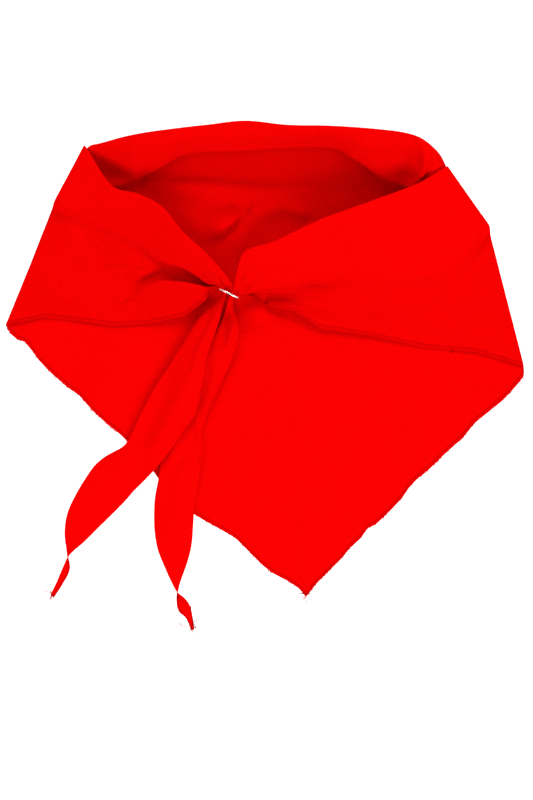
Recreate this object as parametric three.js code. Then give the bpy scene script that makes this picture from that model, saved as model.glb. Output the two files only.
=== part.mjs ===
// Neckerchief: a right-angled triangle of thin cloth, its long edge rolled into a collar and both
// ends drawn through a ring. It lies on its back panel, seen from above, with the neck side at +Y.
// Millimetres, +Z up, origin at the middle of the underside.
import * as THREE from "three";

// Driving dimensions.
const SPREAD_WIDTH = 385; // X shares below are of this width
const SPREAD_LENGTH = 370; // Y shares below are of this length
const COLLAR_RISE = 44; // height of the collar's top edge at the middle of the back
const TAIL_WIDTH = 33; // widest part of a tail, lying flat
const CLOTH_WALL = 1.0;
const LAYER_GAP = 0.4; // air between two layers of the roll
const WAVE_HEIGHT = 0.8; // how far the wings swell where they lie on the back panel
const CREASE_DEPTH = 5; // depth of the deepest fold in a wing
const PLEAT_HEIGHT = 2.2; // height of the gathers where they leave the ring
const ROLL_RETURN = 0.85; // share of the collar's width that the innermost layer covers
const FLAP_RETURN = 0.7; // share of a tail's width that its turned under edge covers
const FALL_LENGTH = 12; // distance over which the cloth falls from the roll to where it lies
const RING_BORE = 17;
const RING_WALL = 1.5;
const RING_LENGTH = 2.4;
const RING_CLEARANCE = 0.4;
const STRAND_GAP = 0.9; // air between the two strands inside the ring

// Levels that follow from them.
const LAYER = CLOTH_WALL + LAYER_GAP;
const PANEL_LEVEL = CLOTH_WALL / 2;
const WING_FLOOR = 1.5 * CLOTH_WALL + 2 * LAYER_GAP;
const WING_LEVEL = WING_FLOOR + 2 * WAVE_HEIGHT;
const FOLD_RADIUS = LAYER + CLOTH_WALL + LAYER_GAP / 2; // side fold, at the middle layer of the roll
const HEM_FOLD_RADIUS = (WING_LEVEL - PANEL_LEVEL) / 2;
const TAIL_THICKNESS = 3 * LAYER + CLOTH_WALL;

// Where the ring stands, and which way it faces: its flat lies along the two strands' side by side line.
const RING_AT = { x: -0.069, y: 0.168 };
const RING_TURN = THREE.MathUtils.degToRad(-26.6);

// Columns of the sheet, counted from the hidden long edge to the hem.
const BAND_COLUMNS = 2;
const STACK_COLUMNS = 2;
const PANEL_COLUMNS = 9;

// Collar sections, from the ring round the neck and back to the ring: the top edge, the lower edge
// of the roll and the hem. X and Y are shares of the spread, heights are shares of COLLAR_RISE.
// pleat is the share of PLEAT_HEIGHT, and steps the number of strips up to the next row.
const LEFT_WING = [
  { top: [-0.070, 0.187, 0.42], low: [-0.086, 0.189, 0.19], hem: [-0.095, 0.189], wrap: 0.6, pleat: 0.4, steps: 2 },
  { top: [-0.083, 0.212, 0.45], low: [-0.110, 0.190, 0.18], hem: [-0.119, 0.134], pleat: 1.0, steps: 2 },
  { top: [-0.117, 0.250, 0.50], low: [-0.152, 0.212, 0.16], hem: [-0.163, 0.120], pleat: 0.6, steps: 2 },
  { top: [-0.160, 0.290, 0.54], low: [-0.196, 0.238, 0.15], hem: [-0.225, 0.108], pleat: 0.3, steps: 2 },
  { top: [-0.198, 0.338, 0.56], low: [-0.248, 0.276, 0.15], hem: [-0.294, 0.104], pleat: 0.1, steps: 2 },
  { top: [-0.244, 0.364, 0.56], low: [-0.302, 0.304, 0.16], hem: [-0.356, 0.114], pleat: 0.0, steps: 2 },
  { top: [-0.296, 0.382, 0.54], low: [-0.352, 0.324, 0.18], hem: [-0.423, 0.122], pleat: 0.0, steps: 3 },
];
const LEFT_FOLD = { top: [-0.346, 0.456, 0.45], low: [-0.400, 0.356, 0.20], hem: [-0.498, 0.106] };
const BACK = [
  { top: [-0.308, 0.464, 0.56], low: [-0.340, 0.370, 0.12], hem: [-0.437, 0.038], steps: 2 },
  { top: [-0.258, 0.478, 0.70], low: [-0.269, 0.382, 0.11], hem: [-0.358, -0.034], steps: 2 },
  { top: [-0.192, 0.488, 0.86], low: [-0.212, 0.410, 0.10], hem: [-0.263, -0.128], steps: 3 },
  { top: [-0.115, 0.496, 0.96], low: [-0.144, 0.450, 0.09], hem: [-0.154, -0.258], steps: 3 },
  { top: [-0.038, 0.504, 1.00], low: [-0.048, 0.454, 0.09], hem: [-0.048, -0.330], steps: 3 },
  { top: [0.038, 0.496, 1.00], low: [0.038, 0.462, 0.09], hem: [0.079, -0.438], steps: 3 },
  { top: [0.119, 0.494, 1.00], low: [0.125, 0.462, 0.09], hem: [0.154, -0.354], steps: 3 },
  { top: [0.187, 0.490, 1.00], low: [0.167, 0.436, 0.09], hem: [0.240, -0.266], steps: 3 },
  { top: [0.252, 0.484, 0.92], low: [0.231, 0.396, 0.10], hem: [0.317, -0.180], steps: 2 },
  { top: [0.294, 0.474, 0.80], low: [0.283, 0.384, 0.11], hem: [0.385, -0.116], steps: 2 },
  { top: [0.329, 0.452, 0.60], low: [0.346, 0.346, 0.13], hem: [0.458, -0.044], steps: 3 },
];
const RIGHT_FOLD = { top: [0.348, 0.418, 0.45], low: [0.427, 0.304, 0.20], hem: [0.498, 0.024] };
const RIGHT_WING = [
  { top: [0.288, 0.382, 0.52], low: [0.360, 0.226, 0.18], hem: [0.404, 0.052], pleat: 0.0, steps: 2 },
  { top: [0.202, 0.348, 0.54], low: [0.279, 0.200, 0.16], hem: [0.308, 0.060], pleat: 0.0, steps: 2 },
  { top: [0.106, 0.312, 0.54], low: [0.187, 0.202, 0.15], hem: [0.206, 0.084], pleat: 0.1, steps: 2 },
  { top: [0.019, 0.270, 0.52], low: [0.102, 0.198, 0.15], hem: [0.110, 0.098], pleat: 0.3, steps: 2 },
  { top: [-0.035, 0.252, 0.50], low: [0.038, 0.184, 0.16], hem: [0.054, 0.134], pleat: 0.6, steps: 2 },
  { top: [-0.050, 0.220, 0.45], low: [-0.017, 0.174, 0.18], hem: [-0.006, 0.154], pleat: 1.0, steps: 2 },
  { top: [-0.054, 0.178, 0.42], low: [-0.044, 0.168, 0.19], hem: [-0.036, 0.163], wrap: 0.6, pleat: 0.4, steps: 2 },
];

// Tails, from the ring to the tip: the middle line as shares of the spread, the width as a share of
// TAIL_WIDTH, the share of the cloth that is left there, and what it lies on: the count of lying
// panels (0 or 1) and of tails (0 or 1) below it.
const LEFT_TAIL = [
  { at: [-0.106, 0.114], width: 0.42, cloth: 1.0, panels: 1, tails: 0.3 },
  { at: [-0.131, 0.058], width: 0.60, cloth: 1.0, panels: 1, tails: 0.8 },
  { at: [-0.152, 0.008], width: 0.78, cloth: 1.0, panels: 1, tails: 1.0 },
  { at: [-0.172, -0.048], width: 0.98, cloth: 1.0, panels: 1, tails: 1.0 },
  { at: [-0.202, -0.098], width: 0.98, cloth: 1.0, panels: 1, tails: 1.0 },
  { at: [-0.240, -0.150], width: 0.92, cloth: 1.0, panels: 1, tails: 0.6 },
  { at: [-0.277, -0.192], width: 0.96, cloth: 0.9, panels: 0.4, tails: 0.1 },
  { at: [-0.313, -0.236], width: 0.84, cloth: 0.8, panels: 0, tails: 0 },
  { at: [-0.344, -0.280], width: 0.66, cloth: 0.6, panels: 0, tails: 0 },
  { at: [-0.367, -0.322], width: 0.40, cloth: 0.3, panels: 0, tails: 0 },
  { at: [-0.378, -0.356], width: 0.16, cloth: 0.0, panels: 0, tails: 0 },
  { at: [-0.388, -0.390], width: 0.22, cloth: 0.0, panels: 0, tails: 0 },
  { at: [-0.408, -0.436], width: 0.08, cloth: 0.0, panels: 0, tails: 0 },
];
const RIGHT_TAIL = [
  { at: [-0.073, 0.112], width: 0.50, cloth: 1.0, panels: 1, tails: 0 },
  { at: [-0.087, 0.070], width: 0.62, cloth: 1.0, panels: 1, tails: 0 },
  { at: [-0.107, 0.016], width: 0.68, cloth: 1.0, panels: 1, tails: 0 },
  { at: [-0.133, -0.040], width: 0.70, cloth: 1.0, panels: 1, tails: 0 },
  { at: [-0.156, -0.092], width: 0.76, cloth: 1.0, panels: 1, tails: 0 },
  { at: [-0.164, -0.144], width: 0.84, cloth: 1.0, panels: 1, tails: 0 },
  { at: [-0.167, -0.198], width: 0.84, cloth: 1.0, panels: 0.9, tails: 0 },
  { at: [-0.172, -0.244], width: 0.86, cloth: 0.9, panels: 0.3, tails: 0 },
  { at: [-0.176, -0.292], width: 0.82, cloth: 0.7, panels: 0, tails: 0 },
  { at: [-0.175, -0.332], width: 0.74, cloth: 0.5, panels: 0, tails: 0 },
  { at: [-0.174, -0.366], width: 0.48, cloth: 0.3, panels: 0, tails: 0 },
  { at: [-0.171, -0.416], width: 0.14, cloth: 0.0, panels: 0, tails: 0 },
  { at: [-0.158, -0.456], width: 0.26, cloth: 0.0, panels: 0, tails: 0 },
  { at: [-0.140, -0.502], width: 0.08, cloth: 0.0, panels: 0, tails: 0 },
];
const TAIL_STEPS = 2;

// Folds pressed into the lying cloth: a line from one end to the other as shares of the spread, its
// half width in shares of SPREAD_WIDTH, and its height in shares of CREASE_DEPTH, below zero for a dent.
const WING_FOLDS = [
  { from: [-0.125, 0.196], to: [-0.275, 0.196], width: 0.016, height: -0.7 }, // tuck under the left strip
  { from: [-0.140, 0.160], to: [-0.270, 0.158], width: 0.030, height: 0.9 }, // lobe below the tuck
  { from: [-0.290, 0.260], to: [-0.400, 0.220], width: 0.022, height: 0.35 },
  { from: [0.000, 0.178], to: [0.110, 0.150], width: 0.018, height: -0.5 }, // hollow beside the ring
  { from: [0.030, 0.140], to: [0.240, 0.112], width: 0.028, height: 0.5 },
  { from: [0.330, 0.020], to: [0.450, 0.190], width: 0.040, height: 0.4 },
];

const at = ([x, y], z = 0) => new THREE.Vector3(x * SPREAD_WIDTH, y * SPREAD_LENGTH, z);
const edgePoint = ([x, y, rise]) => at([x, y], rise * COLLAR_RISE);
const bell = (t) => Math.exp(-t * t);

// Height that the pressed folds add at a point of a wing.
function foldHeight(point) {
  let height = 0;
  for (const fold of WING_FOLDS) {
    const start = at(fold.from);
    const line = at(fold.to).sub(start);
    const along = THREE.MathUtils.clamp(point.clone().setZ(0).sub(start).dot(line) / line.lengthSq(), 0, 1);
    const away = start.addScaledVector(line, along).distanceTo(point.clone().setZ(0));
    height += fold.height * CREASE_DEPTH * bell(away / (fold.width * SPREAD_WIDTH));
  }
  return height;
}

// Slow swell of a lying wing, up and down by WAVE_HEIGHT.
function swell(point) {
  const u = point.x / SPREAD_WIDTH;
  const v = point.y / SPREAD_LENGTH;
  return WAVE_HEIGHT * Math.sin(9 * u + 4 * Math.sin(5 * v)) * Math.cos(8 * v - 3 * u);
}

// A station holds what one section needs. It is an object of points and numbers, so that two of them
// can be blended. wrap is 1 where the panel is turned under the roll, and 0 where it spreads out.
function collarStation(row, level) {
  return {
    top: edgePoint(row.top),
    low: edgePoint(row.low),
    hem: at(row.hem, level),
    level,
    pleat: row.pleat ?? 0,
    cloth: 1,
    wrap: row.wrap ?? 0,
    rest: 0,
    under: 0,
    wing: level > PANEL_LEVEL ? 1 : 0,
    steps: row.steps,
  };
}

// The side fold: a half turn about the line from top to hem, from the wing down to the back panel.
function foldStations(row, outward) {
  const turns = [90, 45, 0, -45, -90].map(THREE.MathUtils.degToRad);
  const middle = (WING_LEVEL + PANEL_LEVEL) / 2;
  const edge = edgePoint(row.top).setZ(0).sub(at(row.hem)).normalize();
  const out = new THREE.Vector3(-edge.y, edge.x, 0).multiplyScalar(outward);
  const turned = (point, radius, angle) => {
    const reach = radius * (Math.cos(angle) - 1);
    return point.clone().addScaledVector(out, reach).add(new THREE.Vector3(0, 0, radius * Math.sin(angle)));
  };
  return turns.map((angle) => ({
    top: turned(edgePoint(row.top), FOLD_RADIUS, angle),
    low: turned(edgePoint(row.low), FOLD_RADIUS, angle),
    hem: turned(at(row.hem, middle), HEM_FOLD_RADIUS, angle),
    level: middle + HEM_FOLD_RADIUS * Math.sin(angle),
    pleat: 0,
    cloth: 1,
    wrap: 0,
    rest: 0,
    under: 0,
    wing: (1 + Math.sin(angle)) / 2,
    steps: 1,
  }));
}

function tailStations(rows) {
  const line = rows.map((row) => at(row.at));
  return rows.map((row, i) => {
    const along = line[Math.min(i + 1, rows.length - 1)].clone().sub(line[Math.max(i - 1, 0)]).normalize();
    const across = new THREE.Vector3(along.y, -along.x, 0);
    const under = row.panels * (CLOTH_WALL + 2 * LAYER_GAP) + row.tails * (TAIL_THICKNESS + 2 * LAYER_GAP);
    const height = under + CLOTH_WALL / 2 + 2 * LAYER;
    const half = (row.width * TAIL_WIDTH) / 2;
    const top = line[i].clone().addScaledVector(across, half).setZ(height);
    const low = line[i].clone().addScaledVector(across, -half).setZ(height);
    return {
      top,
      low,
      hem: low.clone(),
      level: height,
      pleat: 0,
      cloth: row.cloth,
      wrap: 1,
      rest: 1,
      under,
      wing: 0,
      steps: TAIL_STEPS,
    };
  });
}

// Both strands stand on edge inside the ring, side by side.
function ringStations(side) {
  const radius = RING_BORE / 2;
  const middle = 2 * LAYER + CLOTH_WALL / 2 + STRAND_GAP / 2;
  const outer = middle + LAYER + CLOTH_WALL / 2 + RING_CLEARANCE;
  const turnRoom = LAYER + CLOTH_WALL / 2 + RING_CLEARANCE;
  const straight = Math.sqrt(radius ** 2 - outer ** 2);
  const half = Math.min(straight, Math.sqrt(radius ** 2 - middle ** 2) - turnRoom - LAYER / 2);
  const aside = new THREE.Vector3(Math.cos(RING_TURN), Math.sin(RING_TURN), 0);
  const along = new THREE.Vector3(-aside.y, aside.x, 0);
  const run = RING_LENGTH / 2 + RING_CLEARANCE + CLOTH_WALL;
  return [-run, run].map((shift) => {
    const centre = ringCentre().addScaledVector(aside, side * middle).addScaledVector(along, -side * shift);
    const top = centre.clone().add(new THREE.Vector3(0, 0, half));
    const low = centre.clone().add(new THREE.Vector3(0, 0, -half));
    return {
      top,
      low,
      along: along.clone().multiplyScalar(-side),
      hem: low.clone(),
      level: low.z,
      pleat: 0,
      cloth: 1,
      wrap: 1,
      rest: 0,
      under: 0,
      wing: 0,
      steps: 2,
    };
  });
}

function ringCentre() {
  return at([RING_AT.x, RING_AT.y], CLOTH_WALL + RING_CLEARANCE + RING_WALL + RING_BORE / 2);
}

// Blend of four neighbouring stations at t between the second and the third.
function blendStations(a, b, c, d, t) {
  const curve = (p, q, r, s) => {
    const v0 = (r - p) / 2;
    const v1 = (s - q) / 2;
    return (2 * q - 2 * r + v0 + v1) * t ** 3 + (3 * r - 3 * q - 2 * v0 - v1) * t ** 2 + v0 * t + q;
  };
  const mixed = { steps: 1 };
  if (b.along && c.along) {
    [a, d] = [b, c];
    mixed.along = b.along;
  }
  for (const key of Object.keys(b)) {
    if (key === "steps" || key === "along") continue;
    if (key === "hem") mixed.hem = b.hem.clone().lerp(c.hem, t);
    else if (b[key].isVector3)
      mixed[key] = new THREE.Vector3(
        curve(a[key].x, b[key].x, c[key].x, d[key].x),
        curve(a[key].y, b[key].y, c[key].y, d[key].y),
        curve(a[key].z, b[key].z, c[key].z, d[key].z),
      );
    else mixed[key] = THREE.MathUtils.lerp(b[key], c[key], t);
  }
  return mixed;
}

function allStations() {
  const wing = (rows) => rows.map((row) => collarStation(row, WING_LEVEL));
  const keys = [
    ...tailStations([...LEFT_TAIL].reverse()),
    ...ringStations(-1),
    ...wing(LEFT_WING),
    ...foldStations(LEFT_FOLD, 1),
    ...BACK.map((row) => collarStation(row, PANEL_LEVEL)),
    ...foldStations(RIGHT_FOLD, -1).reverse(),
    ...wing(RIGHT_WING),
    ...ringStations(1),
    ...tailStations(RIGHT_TAIL),
  ];
  const stations = [];
  keys.forEach((key, i) => {
    if (i === keys.length - 1) {
      stations.push(key);
      return;
    }
    const before = keys[Math.max(i - 1, 0)];
    const next = keys[i + 1];
    const after = keys[Math.min(i + 2, keys.length - 1)];
    for (let step = 0; step < key.steps; step++)
      stations.push(blendStations(before, key, next, after, step / key.steps));
  });
  return stations;
}

// Point of the roll at a length from the top edge inwards: over the top, down the band, round the
// lower edge and up again as the innermost layer. u runs from the low edge to the top, n outwards.
function rollPoint(length, width) {
  const topTurn = Math.PI * LAYER;
  const lowTurn = (Math.PI * LAYER) / 2;
  if (length < topTurn) {
    const angle = length / LAYER;
    return { u: width + LAYER * Math.sin(angle), n: LAYER * Math.cos(angle) };
  }
  if (length < topTurn + width) return { u: width - (length - topTurn), n: -LAYER };
  if (length < topTurn + width + lowTurn) {
    const angle = (length - topTurn - width) / (LAYER / 2);
    return { u: (-LAYER / 2) * Math.sin(angle), n: -LAYER / 2 - (LAYER / 2) * Math.cos(angle) };
  }
  return { u: length - topTurn - width - lowTurn, n: 0 };
}

// Lengths of the roll's columns from the top edge inwards, the last column first.
function rollLengths(width, cloth) {
  const topTurn = Math.PI * LAYER;
  const lowTurn = (Math.PI * LAYER) / 2;
  const back = ROLL_RETURN * width;
  const lengths = [];
  for (let i = 0; i <= 3; i++) lengths.push((topTurn * i) / 3);
  for (let i = 1; i <= BAND_COLUMNS; i++) lengths.push(topTurn + (width * i) / (BAND_COLUMNS + 1));
  for (let i = 0; i <= 2; i++) lengths.push(topTurn + width + (lowTurn * i) / 2);
  for (let i = 1; i <= 2; i++) lengths.push(topTurn + width + lowTurn + (back * i) / 2);
  const least = CLOTH_WALL / lengths[lengths.length - 1];
  return lengths.map((length) => length * Math.max(cloth, least)).reverse();
}

// The edge of a tail turned under the roll, at a length from the low edge of the outer layer.
function flapPoint(length) {
  const radius = 1.5 * LAYER;
  const angle = length / radius;
  if (angle < Math.PI) return { u: -radius * Math.sin(angle), n: LAYER - radius + radius * Math.cos(angle) };
  return { u: length - Math.PI * radius, n: -2 * LAYER };
}

function bezier(p, q, r, s, t) {
  return p.clone().multiplyScalar((1 - t) ** 3)
    .addScaledVector(q, 3 * t * (1 - t) ** 2)
    .addScaledVector(r, 3 * t * t * (1 - t))
    .addScaledVector(s, t ** 3);
}

// Points of one section, from the hidden long edge to the hem.
function section(station, along) {
  const rise = station.top.clone().sub(station.low);
  const width = rise.length();
  const up = rise.normalize();
  const forward = along.clone().addScaledVector(up, -along.dot(up)).normalize();
  const outer = up.clone().cross(forward);
  const place = ({ u, n }) => station.low.clone().addScaledVector(up, u).addScaledVector(outer, n);
  const points = rollLengths(width, station.cloth).map((length) => place(rollPoint(length, width)));
  for (let i = 1; i <= STACK_COLUMNS; i++)
    points.push(place({ u: width * (1 - i / STACK_COLUMNS), n: LAYER }));

  const foot = points[points.length - 1];
  const spread = station.hem.clone().sub(foot);
  const spreadLength = Math.max(spread.length(), CLOTH_WALL);
  const heading = spread.clone().setZ(0).normalize();
  const fall = Math.min(FALL_LENGTH, spreadLength / 2);
  const landing = foot.clone().addScaledVector(heading, fall).setZ(station.level);
  const flap = Math.max(FLAP_RETURN * width * station.cloth, CLOTH_WALL);
  for (let i = 1; i <= PANEL_COLUMNS; i++) {
    const share = (i / PANEL_COLUMNS) ** 1.6;
    const out = share * spreadLength;
    let lying;
    if (out < fall) {
      const first = foot.clone().addScaledVector(up, -fall / 3);
      const last = landing.clone().addScaledVector(heading, -fall / 3);
      lying = bezier(foot, first, last, landing, out / fall);
    } else lying = landing.clone().lerp(station.hem, (out - fall) / Math.max(spreadLength - fall, 0.1));
    const settled = THREE.MathUtils.smoothstep(out, 0, fall * 1.5);
    lying.z = Math.max(lying.z, station.level);
    lying.z += settled * station.wing * (foldHeight(lying) + swell(lying)) * (1 - station.wrap);
    lying.z += (i % 2 ? 1 : -0.3) * station.pleat * PLEAT_HEIGHT * (1 - 0.5 * share);
    if (station.wing > 0.99) lying.z = Math.max(lying.z, WING_FLOOR);
    const turned = place(flapPoint((i / PANEL_COLUMNS) * flap));
    points.push(lying.lerp(turned, station.wrap));
  }
  if (station.rest > 0) {
    const lowest = Math.min(...points.map((point) => point.z));
    const shift = station.rest * (station.under + CLOTH_WALL / 2 - lowest);
    for (const point of points) point.z += shift;
  }
  return points;
}

// A closed wall about a grid of points, CLOTH_WALL thick.
function wallGeometry(grid) {
  const rows = grid.length;
  const columns = grid[0].length;
  const normals = grid.map((row) => row.map(() => new THREE.Vector3()));
  for (let i = 0; i < rows - 1; i++)
    for (let j = 0; j < columns - 1; j++) {
      const across = grid[i + 1][j + 1].clone().sub(grid[i][j]);
      const normal = across.cross(grid[i][j + 1].clone().sub(grid[i + 1][j]));
      for (const [a, b] of [[i, j], [i + 1, j], [i, j + 1], [i + 1, j + 1]]) normals[a][b].add(normal);
    }
  const positions = [];
  for (const side of [0.5, -0.5])
    for (let i = 0; i < rows; i++)
      for (let j = 0; j < columns; j++) {
        const offset = normals[i][j].clone().normalize().multiplyScalar(side * CLOTH_WALL);
        positions.push(...grid[i][j].clone().add(offset).toArray());
      }
  const front = (i, j) => i * columns + j;
  const back = (i, j) => (rows + i) * columns + j;
  const index = [];
  const quad = (a, b, c, d) => index.push(a, b, c, a, c, d);
  for (let i = 0; i < rows - 1; i++)
    for (let j = 0; j < columns - 1; j++) {
      quad(front(i, j), front(i + 1, j), front(i + 1, j + 1), front(i, j + 1));
      quad(back(i, j), back(i, j + 1), back(i + 1, j + 1), back(i + 1, j));
    }
  for (let i = 0; i < rows - 1; i++) {
    quad(front(i, 0), back(i, 0), back(i + 1, 0), front(i + 1, 0));
    quad(front(i + 1, columns - 1), back(i + 1, columns - 1), back(i, columns - 1), front(i, columns - 1));
  }
  for (let j = 0; j < columns - 1; j++) {
    quad(front(0, j + 1), back(0, j + 1), back(0, j), front(0, j));
    quad(front(rows - 1, j), back(rows - 1, j), back(rows - 1, j + 1), front(rows - 1, j + 1));
  }
  const geometry = new THREE.BufferGeometry();
  geometry.setAttribute("position", new THREE.Float32BufferAttribute(positions, 3));
  geometry.setIndex(index);
  geometry.computeVertexNormals();
  return geometry;
}

function kerchief() {
  const stations = allStations();
  const middles = stations.map(({ top, low }) => top.clone().add(low).multiplyScalar(0.5));
  const grid = stations.map((station, i) => {
    const next = middles[Math.min(i + 1, stations.length - 1)];
    const before = middles[Math.max(i - 1, 0)];
    return section(station, station.along ?? next.clone().sub(before));
  });
  const red = new THREE.MeshStandardMaterial({ color: 0xe00808, roughness: 0.85, metalness: 0 });
  const mesh = new THREE.Mesh(wallGeometry(grid), red);
  mesh.name = "kerchief";
  return mesh;
}

function slideRing() {
  const inner = RING_BORE / 2;
  const outer = inner + RING_WALL;
  const half = RING_LENGTH / 2;
  const chamfer = RING_WALL / 4;
  const profile = [
    [inner, -half + chamfer], [inner + chamfer, -half], [outer - chamfer, -half], [outer, -half + chamfer],
    [outer, half - chamfer], [outer - chamfer, half], [inner + chamfer, half], [inner, half - chamfer],
    [inner, -half + chamfer],
  ].map(([r, z]) => new THREE.Vector2(r, z));
  const silver = new THREE.MeshStandardMaterial({ color: 0xc8c8c8, roughness: 0.25, metalness: 1 });
  const mesh = new THREE.Mesh(new THREE.LatheGeometry(profile, 28), silver);
  mesh.name = "slide_ring";
  mesh.position.copy(ringCentre());
  mesh.rotation.z = RING_TURN;
  return mesh;
}

const neckerchief = new THREE.Group();
neckerchief.name = "neckerchief";
neckerchief.add(kerchief(), slideRing());
const reach = new THREE.Box3().setFromObject(neckerchief, true);
neckerchief.position.set(-(reach.min.x + reach.max.x) / 2, -(reach.min.y + reach.max.y) / 2, -reach.min.z);

export default neckerchief;
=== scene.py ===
"""Neckerchief: one triangle of thin red cloth, its long edge rolled into a collar, both ends drawn
through a thin ring, lying on its back panel and seen from above."""

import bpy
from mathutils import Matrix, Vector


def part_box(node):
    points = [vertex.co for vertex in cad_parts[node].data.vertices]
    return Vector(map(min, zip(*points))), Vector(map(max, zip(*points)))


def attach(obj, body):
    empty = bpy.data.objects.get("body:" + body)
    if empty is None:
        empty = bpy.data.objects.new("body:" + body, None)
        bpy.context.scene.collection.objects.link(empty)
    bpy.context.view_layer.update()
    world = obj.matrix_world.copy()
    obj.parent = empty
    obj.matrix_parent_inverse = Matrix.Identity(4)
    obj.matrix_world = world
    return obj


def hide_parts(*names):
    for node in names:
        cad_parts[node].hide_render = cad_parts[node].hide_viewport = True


bl_info = {
    "name": "Neckerchief",
    "version": (1, 0, 0),
    "blender": (4, 5, 0),
    "location": "3D View > Sidebar > Neckerchief",
    "description": "A rolled and folded cloth neckerchief with its slide ring",
    "category": "Add Mesh",
}

import math
import random

import bmesh
import bpy
from mathutils import Matrix, Vector, noise

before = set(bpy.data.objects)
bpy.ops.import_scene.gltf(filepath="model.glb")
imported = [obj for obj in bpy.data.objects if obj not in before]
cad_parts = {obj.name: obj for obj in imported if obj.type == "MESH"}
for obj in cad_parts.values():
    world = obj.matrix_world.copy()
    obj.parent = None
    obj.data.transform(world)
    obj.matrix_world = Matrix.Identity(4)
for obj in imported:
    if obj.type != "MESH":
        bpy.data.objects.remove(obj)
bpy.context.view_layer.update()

MM = 0.001
BODY = "root"

# Places in the photo are pixels of its 533 by 800 frame, turned into metres on the table.
PHOTO_WIDTH, PHOTO_HEIGHT = 533, 800
PIXEL = 0.74 * MM
PHOTO_CENTRE = (265, 378)

# Sizes of the folded cloth.
LEG_LENGTH = 0.70
LAYER = 0.9 * MM  # from one layer of the roll to the next
PANEL_GAP = 0.8 * MM  # room that the panel takes below a tail
TAIL_STEP = 3 * LAYER + 0.35 * MM + 0.4 * MM  # room that a tail takes below the other
WING_LEVEL = 3.6 * MM  # height at which a wing lands
WING_FLOOR = 1.1 * MM  # least height of a wing
HEM_LEVEL = 1.5 * MM  # height of a wing's hem
NUB_LEVEL = 1.0 * MM  # a hem has nubs below this height
FOLD_RADIUS = 2.3 * MM  # radius of the side folds
SIDE_FOLD_BACK = 0.4 * MM  # height of the cloth's lower side at a side fold
ROLL_RETURN = 0.85  # share of the collar's width that the roll climbs again inside
FLAP_RETURN = 0.7  # share of a tail's width that its edge is turned under
NARROW = 22 * MM  # layers draw together where the ribbon is narrower
PUFF = 2.6 * MM  # how far the outer layer puffs out beside the ring
ROLL_OVERHANG = 2.6 * MM  # how far the collar stands over its lower edge at the back
LEAST = 0.8 * MM  # least length of a run of cloth

# The ring, and the two strands that stand on edge inside it.
RING_PLACE = (229, 294)
RING_TURN = math.radians(-26.6)
STRAND_MIDDLE = 1.9 * MM
STRAND_HALF = 6.0 * MM
STRAND_REACH = 2.4 * MM

# Pleats that run out from the ring, with how deep they may dip on the collar and on the tails.
PLEATS = 7.5
PLEAT_HEIGHT = 1.7 * MM
PLEAT_REACH = 15 * MM
PLEAT_WANDER = 1.4
COLLAR_DIP = 0.2 * MM
TAIL_DIP = 0.7 * MM

# A fold has died away at this many half widths.
FOLD_REACH = 2.6

# Slow drift of the whole cloth: how often it comes in a metre, where it starts and how far it goes in
# millimetres. The seed is fixed, so that every run gives the same cloth. Near the knot it calms down.
NOISE_SEED = 7
DRIFT = ((17, (0, 0, 0), 1.1), (48, (7, 3, 1), 0.45), (120, (1, 9, 4), 0.12))
DRIFT_LEVEL_SHARE = 0.3
KNOT_HEIGHT = 11
KNOT_CALM = 14 * MM
WAVES_IN_A_METRE = 30

# The overlocked edge: the most of a section that it covers, and the place of its middle row.
BAND_SHARE = 0.16
BAND_MIDDLE = 0.45

# Softboxes round the table: place and size in metres. The camera looks straight down.
SOFTBOXES = {
    "front": ((0.25, -2.7, 1.8), (2.0, 1.3)),
    "left": ((-2.6, -0.9, 1.9), (1.4, 1.4)),
    "right": ((2.6, -1.2, 1.9), (1.4, 1.4)),
    "back": ((0.4, 2.5, 1.75), (2.0, 1.2)),
}
TABLE_HALF = 6
CAMERA_HEIGHT = 3.0

# A wave texture of scale 1 has one band in this length.
WAVE_BAND = 0.314

# How finely the sheet is divided: strips for one step of a row, and columns from the hidden long
# edge to the hem.
FINE = 4
TOP_COLUMNS = 7
BAND_COLUMNS = 10
LOW_COLUMNS = 5
RETURN_COLUMNS = 7
STACK_COLUMNS = 14
PANEL_COLUMNS = 80

# Sections of the collar, from the ring round the neck: top edge and lower edge of the roll as pixels
# and a height in millimetres, the hem as pixels, with a height where it doesn't lie down, and the
# length in millimetres in which the cloth falls to where it lies. Near the ring the hem is wrapped
# round the roll and the outer layer puffs out.
LEFT_WING = [
    dict(top=(231.3, 286, 18.5), low=(219, 285, 9.5), hem=(214, 286), wrap=0.6, fall=3, steps=2, puff=1.1),
    dict(top=(222, 272, 20.5), low=(207, 281.5, 11), hem=(206, 304, 7), fall=1.6, steps=4, puff=0.5),
    dict(top=(204, 253, 22.5), low=(185, 268, 11.5), hem=(184, 317, 5), fall=1.5, steps=4),
    dict(top=(182, 233, 23.8), low=(163, 259, 9), hem=(148, 324, 2.6), fall=2.4, steps=3),
    dict(top=(162, 209, 24.6), low=(136, 240, 6.6), hem=(112, 326), fall=5, steps=3),
    dict(top=(138, 196, 24.6), low=(108, 226, 7.0), hem=(80, 321), fall=5, steps=3),
    dict(top=(111, 187, 23.8), low=(82, 216, 7.9), hem=(45, 317), fall=7, steps=4),
]
LEFT_FOLD = dict(top=(85, 150, 19.8), low=(57, 200, 8.8), hem=(6, 325), fall=9)
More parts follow.
